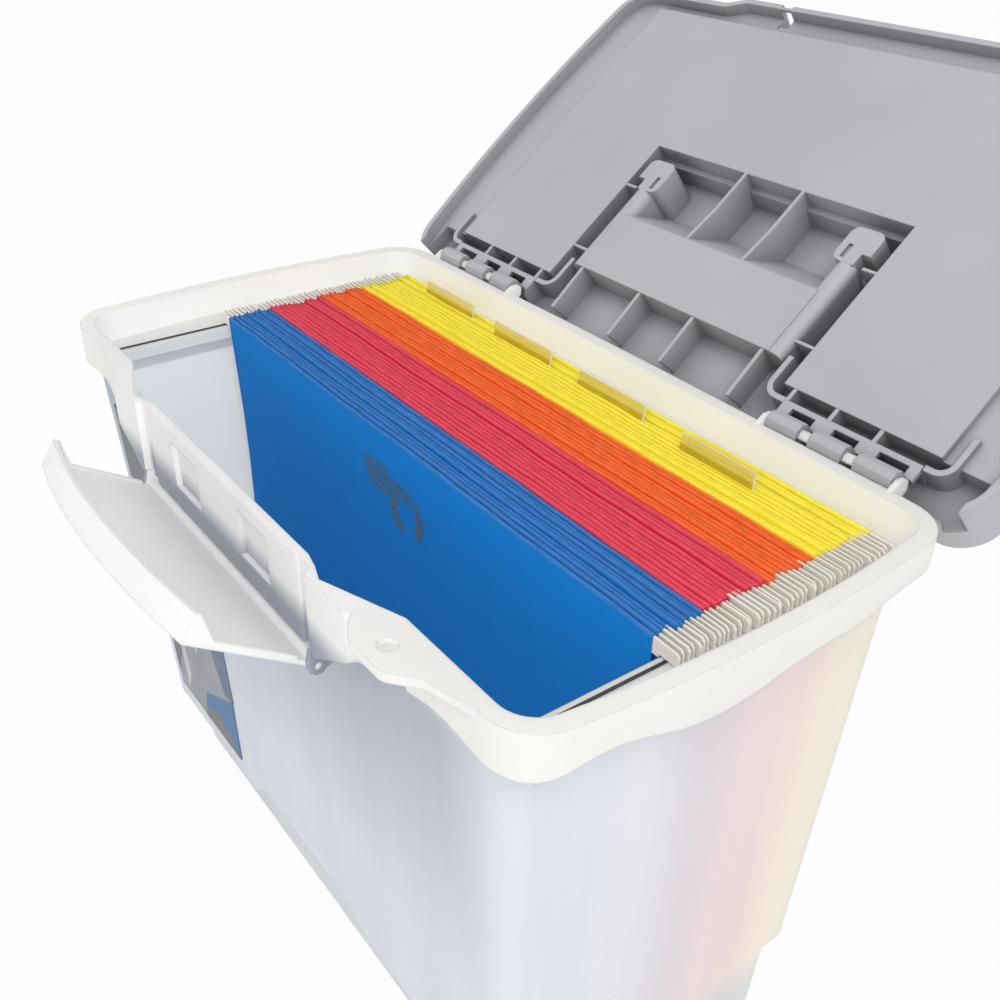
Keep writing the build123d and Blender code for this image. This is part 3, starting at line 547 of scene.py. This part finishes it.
# Index tabs: (left x, right x, y of the hem under it), in mm.
TABS = ((-122, -81, 71.2), (-61, -18.5, 69.0), (2.5, 44, 67.2), (68.5, 107, 63.6))
TAB_FOOT, TAB_TOP, TAB_LEAN = 246.6, 253.6, 1.0
TAB_HALF_T = 0.25
TAB_PAINTED_SHADE_TOP = 249.0                     # top of the painted shade on the foot
TAB_EDGE, TAB_END = 0.5, 0.9           # width of the painted highlight on the top edge and on the right end
CLEAR, PAINTED_SHADE_FOOT, PAINTED_HIGHLIGHT = range(3)       # a tab's material slots: clear, painted shade, painted highlight


def make_tabs():
    """Clear tabs that lean back a little, with painted highlights on the top edge and right end, painted
    shadow on the foot and a yellow painted for the folders seen through.
    """
    shape = bmesh.new()
    for left, right, y in TABS:
        def place(u, v, depth):
            lean = TAB_LEAN * (v - TAB_FOOT) / (TAB_TOP - TAB_FOOT)
            return (u * MM, (y + lean + depth) * MM, v * MM)

        def panel(x0, x1, z0, z1, slot):
            corners = [(x0, z0), (x1, z0), (x1, z1), (x0, z1)]
            add_prism(shape, corners, place, -TAB_HALF_T, TAB_HALF_T, slot)

        end = right - TAB_END
        panel(left, end, TAB_FOOT, TAB_PAINTED_SHADE_TOP, PAINTED_SHADE_FOOT)
        panel(left, end, TAB_PAINTED_SHADE_TOP, TAB_TOP - TAB_EDGE, CLEAR)
        panel(left, end, TAB_TOP - TAB_EDGE, TAB_TOP, PAINTED_HIGHLIGHT)
        panel(end, right, TAB_FOOT, TAB_TOP, PAINTED_HIGHLIGHT)
    # The clear body is coloured yellow as painted see-through light; its foot is painted shadow and its
    # edges are painted highlight.
    materials = [
        clear_plastic("tab_clear", srgb(236, 218, 120), 0.50),
        clear_plastic("tab_foot_painted_shade", srgb(206, 182, 44), 0.80),
        clear_plastic("tab_edge_painted_highlight", srgb(244, 240, 214), 0.65),
    ]
    finish_piece(shape, "tab_strips", materials, "yellow_folders", "clear_tab", "index_tabs")


# Label, on the outside of the front wall: ink, height above the wall and outline in (x, distance below
# the ledge), in mm.
WALL_Y, WALL_LEAN, LEDGE_Z = -87.6, 0.055, 240.7
LABEL_FOOT = 0.02                      # the card starts this far off the wall
LABEL_INKS = {
    "label_grey": srgb(150, 153, 158),
    "label_top": srgb(112, 115, 119),
    "label_pale": srgb(196, 199, 203),
    "label_edge": srgb(98, 114, 142),
    "label_blue": srgb(66, 116, 162),
    "label_brown": srgb(118, 116, 118),
}
LABEL = (
    ("label_grey", 0.40, [(-142, 20), (-60, 20), (-61, 118), (-66, 187), (-138, 187)]),
    ("label_top", 0.46, [(-142, 20), (-96, 20), (-100, 62), (-142, 58)]),
    ("label_top", 0.46, [(-138, 100), (-127, 118), (-127, 158), (-138, 178)]),
    ("label_top", 0.46, [(-116, 104), (-96, 101), (-88, 128), (-97, 124)]),
    ("label_pale", 0.46, [(-124, 118), (-119, 118), (-119, 168), (-127, 182)]),
    ("label_pale", 0.46, [(-106, 124), (-97, 129), (-101, 142), (-108, 136)]),
    ("label_edge", 0.46, [(-84, 100), (-60, 100), (-61, 146), (-70, 147), (-77, 126)]),
    ("label_blue", 0.50, [(-99, 166), (-62, 146), (-66, 187), (-107, 187)]),
    ("label_brown", 0.54, [(-104, 180), (-88, 172), (-74, 177), (-67, 187), (-107, 187)]),
)


def make_label():
    """Printed card of plain coloured areas, without any lettering."""
    def place(x, down, depth):
        return (x * MM, (WALL_Y + WALL_LEAN * down - depth) * MM, (LEDGE_Z - down) * MM)

    shape = bmesh.new()
    order = list(LABEL_INKS)
    for ink, height, outline in LABEL:
        add_prism(shape, outline, place, LABEL_FOOT, height, order.index(ink))
    materials = [print_ink(name, colour) for name, colour in LABEL_INKS.items()]
    finish_piece(shape, "label_card", materials, "tub", "label_paper", "front_label_card")


# Printed mark on the first folder, in mm: rows of bars as (z, their ends in x), over two arcs as
# (centre x, centre z, start and end in degrees).
MARK_ROWS = (
    (228.2, ((-24, -19.5), (-18.5, -12), (-11, -6))),
    (224.6, ((-23, -17), (-16, -8), (-7, -2), (-1, 5), (6, 12))),
    (221.0, ((-22, -14), (-13, -6), (-5, 3), (4, 10), (11, 16))),
    (217.4, ((-20, -15), (-14, -5), (-4, 2))),
)
MARK_ARCS = ((5.0, 214.0, 150, 262), (9.5, 214.5, -60, 50))
MARK_R, MARK_W = 10.0, 5.0
MARK_BAR_H = 2.5
MARK_HALF_T = 0.1
IN_FRONT_Y = -0.2                      # metres, in front of the tub
ARC_STEPS = 6


def mark_outlines():
    """Outlines of the mark's bars and arcs, in (x, z)."""
    for z, bars in MARK_ROWS:
        for x0, x1 in bars:
            yield [(x0, z), (x1, z), (x1, z + MARK_BAR_H), (x0, z + MARK_BAR_H)]
    for x, z, start, stop in MARK_ARCS:
        turns = [math.radians(start + (stop - start) * i / ARC_STEPS) for i in range(ARC_STEPS + 1)]
        outer, inner = (
            [(x + r * math.cos(t), z + r * math.sin(t)) for t in turns] for r in (MARK_R, MARK_R - MARK_W)
        )
        yield outer + inner[::-1]


def make_mark():
    """Plain printed mark laid on the slack panel of the first folder."""
    folder = bpy.data.objects["sheet_blue_folder_1"]
    mesh = folder.data
    points = [tuple(v.co) for v in mesh.vertices]
    skin = BVHTree.FromPolygons(points, [tuple(f.vertices) for f in mesh.polygons])

    def place(x, z, depth):
        spot = skin.ray_cast(Vector((x * MM, IN_FRONT_Y, z * MM)), Vector((0.0, 1.0, 0.0)))[0]
        return spot - Vector((0.0, depth * MM, 0.0))

    shape = bmesh.new()
    for outline in mark_outlines():
        add_prism(shape, outline, place, -MARK_HALF_T, MARK_HALF_T, 0)
    ink = print_ink("mark_ink", srgb(56, 92, 122))
    finish_piece(shape, "folder_mark", [ink], "blue_folders", "blue_paper")


def dress():
    """Materials of the CAD nodes that the scene shows as they are."""
    # The last two values give the tub and the latch painted glow on their inner and outer upright faces.
    assign(frosted_plastic("frosted_plastic", tub_colour, 0.35, 0.28, 0.06), "tub_shell")
    assign(frosted_plastic("latch_plastic", latch_colour, 0.25, 0.20, 0.12), "front_latch")
    # The grey plastic gets painted shade in hollows narrower than 22 mm.
    lid = moulded_plastic("grey_plastic", srgb(168, 170, 175), srgb(176, 178, 183), reach=22 * MM)
    assign(lid, "lid_frame")
    assign(lid.copy(), "organizer_cover_left", "organizer_cover_right")
    assign(lid.copy(), "carry_handle")
    assign(dark_steel(), "hanging_rail_left", "hanging_rail_right")


# ---- light and floor ----------------------------------------------------------
MIDDLE = (0.0, 0.0, 0.2)
WORLD_LIGHT = 0.75
FLOOR_HALF = 4.0                       # metres from the middle of the floor to its edges
FLOOR_GREY = 0.93
FLOOR_WHITE = 0.90                     # share of the floor's look that is plain white


def showing(tree):
    """1 for rays that show the surroundings: seen straight, mirrored or through clear plastic."""
    path = tree.nodes.new("ShaderNodeLightPath")
    value = path.outputs["Is Camera Ray"]
    for kind in ("Is Glossy Ray", "Is Transmission Ray"):
        larger = tree.nodes.new("ShaderNodeMath")
        larger.operation = "MAXIMUM"
        tree.links.new(value, larger.inputs[0])
        tree.links.new(path.outputs[kind], larger.inputs[1])
        value = larger.outputs["Value"]
    return value


def camera_white(tree, surface, share):
    """Surface of which the camera, mirrors and clear plastic show that share as plain white."""
    white = tree.nodes.new("ShaderNodeEmission")
    amount = tree.nodes.new("ShaderNodeMath")
    amount.operation = "MULTIPLY"
    amount.inputs[1].default_value = share
    mix = tree.nodes.new("ShaderNodeMixShader")
    tree.links.new(showing(tree), amount.inputs[0])
    tree.links.new(amount.outputs["Value"], mix.inputs["Fac"])
    tree.links.new(surface, mix.inputs[1])
    tree.links.new(white.outputs["Emission"], mix.inputs[2])
    return mix.outputs["Shader"]


def area_light(name, at, size, power):
    """Round lamp turned towards the middle of the object."""
    data = bpy.data.lights.new(name, "AREA")
    data.shape = "DISK"
    data.size = size
    data.energy = power
    light = bpy.data.objects.new(name, data)
    bpy.context.scene.collection.objects.link(light)
    light.location = at
    light.rotation_euler = (Vector(MIDDLE) - Vector(at)).to_track_quat("-Z", "Y").to_euler()


def make_world():
    """Even white light, dimmer than the plain white that is seen behind the object."""
    world = bpy.data.worlds.new("world")
    bpy.context.scene.world = world
    world.use_nodes = True
    tree = world.node_tree
    light = tree.nodes["Background"]
    light.inputs["Color"].default_value = (1.0, 1.0, 1.0, 1.0)
    light.inputs["Strength"].default_value = WORLD_LIGHT
    white = tree.nodes.new("ShaderNodeBackground")
    white.inputs["Color"].default_value = (1.0, 1.0, 1.0, 1.0)
    mix = tree.nodes.new("ShaderNodeMixShader")
    tree.links.new(showing(tree), mix.inputs["Fac"])
    tree.links.new(light.outputs["Background"], mix.inputs[1])
    tree.links.new(white.outputs["Background"], mix.inputs[2])
    tree.links.new(mix.outputs["Shader"], tree.nodes["World Output"].inputs["Surface"])


def make_floor():
    """White floor that keeps a faint shadow."""
    mesh = bpy.data.meshes.new("floor")
    shape = bmesh.new()
    bmesh.ops.create_grid(shape, x_segments=1, y_segments=1, size=FLOOR_HALF)
    shape.to_mesh(mesh)
    shape.free()
    floor = bpy.data.objects.new("floor", mesh)
    bpy.context.scene.collection.objects.link(floor)
    material, tree, shader = new_material("floor")
    shader.inputs["Base Color"].default_value = (FLOOR_GREY, FLOOR_GREY, FLOOR_GREY, 1.0)
    shader.inputs["Roughness"].default_value = 0.9
    shown = camera_white(tree, shader.outputs["BSDF"], FLOOR_WHITE)
    tree.links.new(shown, tree.nodes["Material Output"].inputs["Surface"])
    mesh.materials.append(material)


make_camera()
make_world()
make_floor()
area_light("key", (1.0, -0.5, 1.7), 0.7, 10.0)
area_light("front", (1.1, -1.4, 1.1), 1.2, 8.0)
make_folders()
make_tabs()
make_label()
make_mark()
dress()
bpy.context.scene.view_settings.view_transform = "Standard"
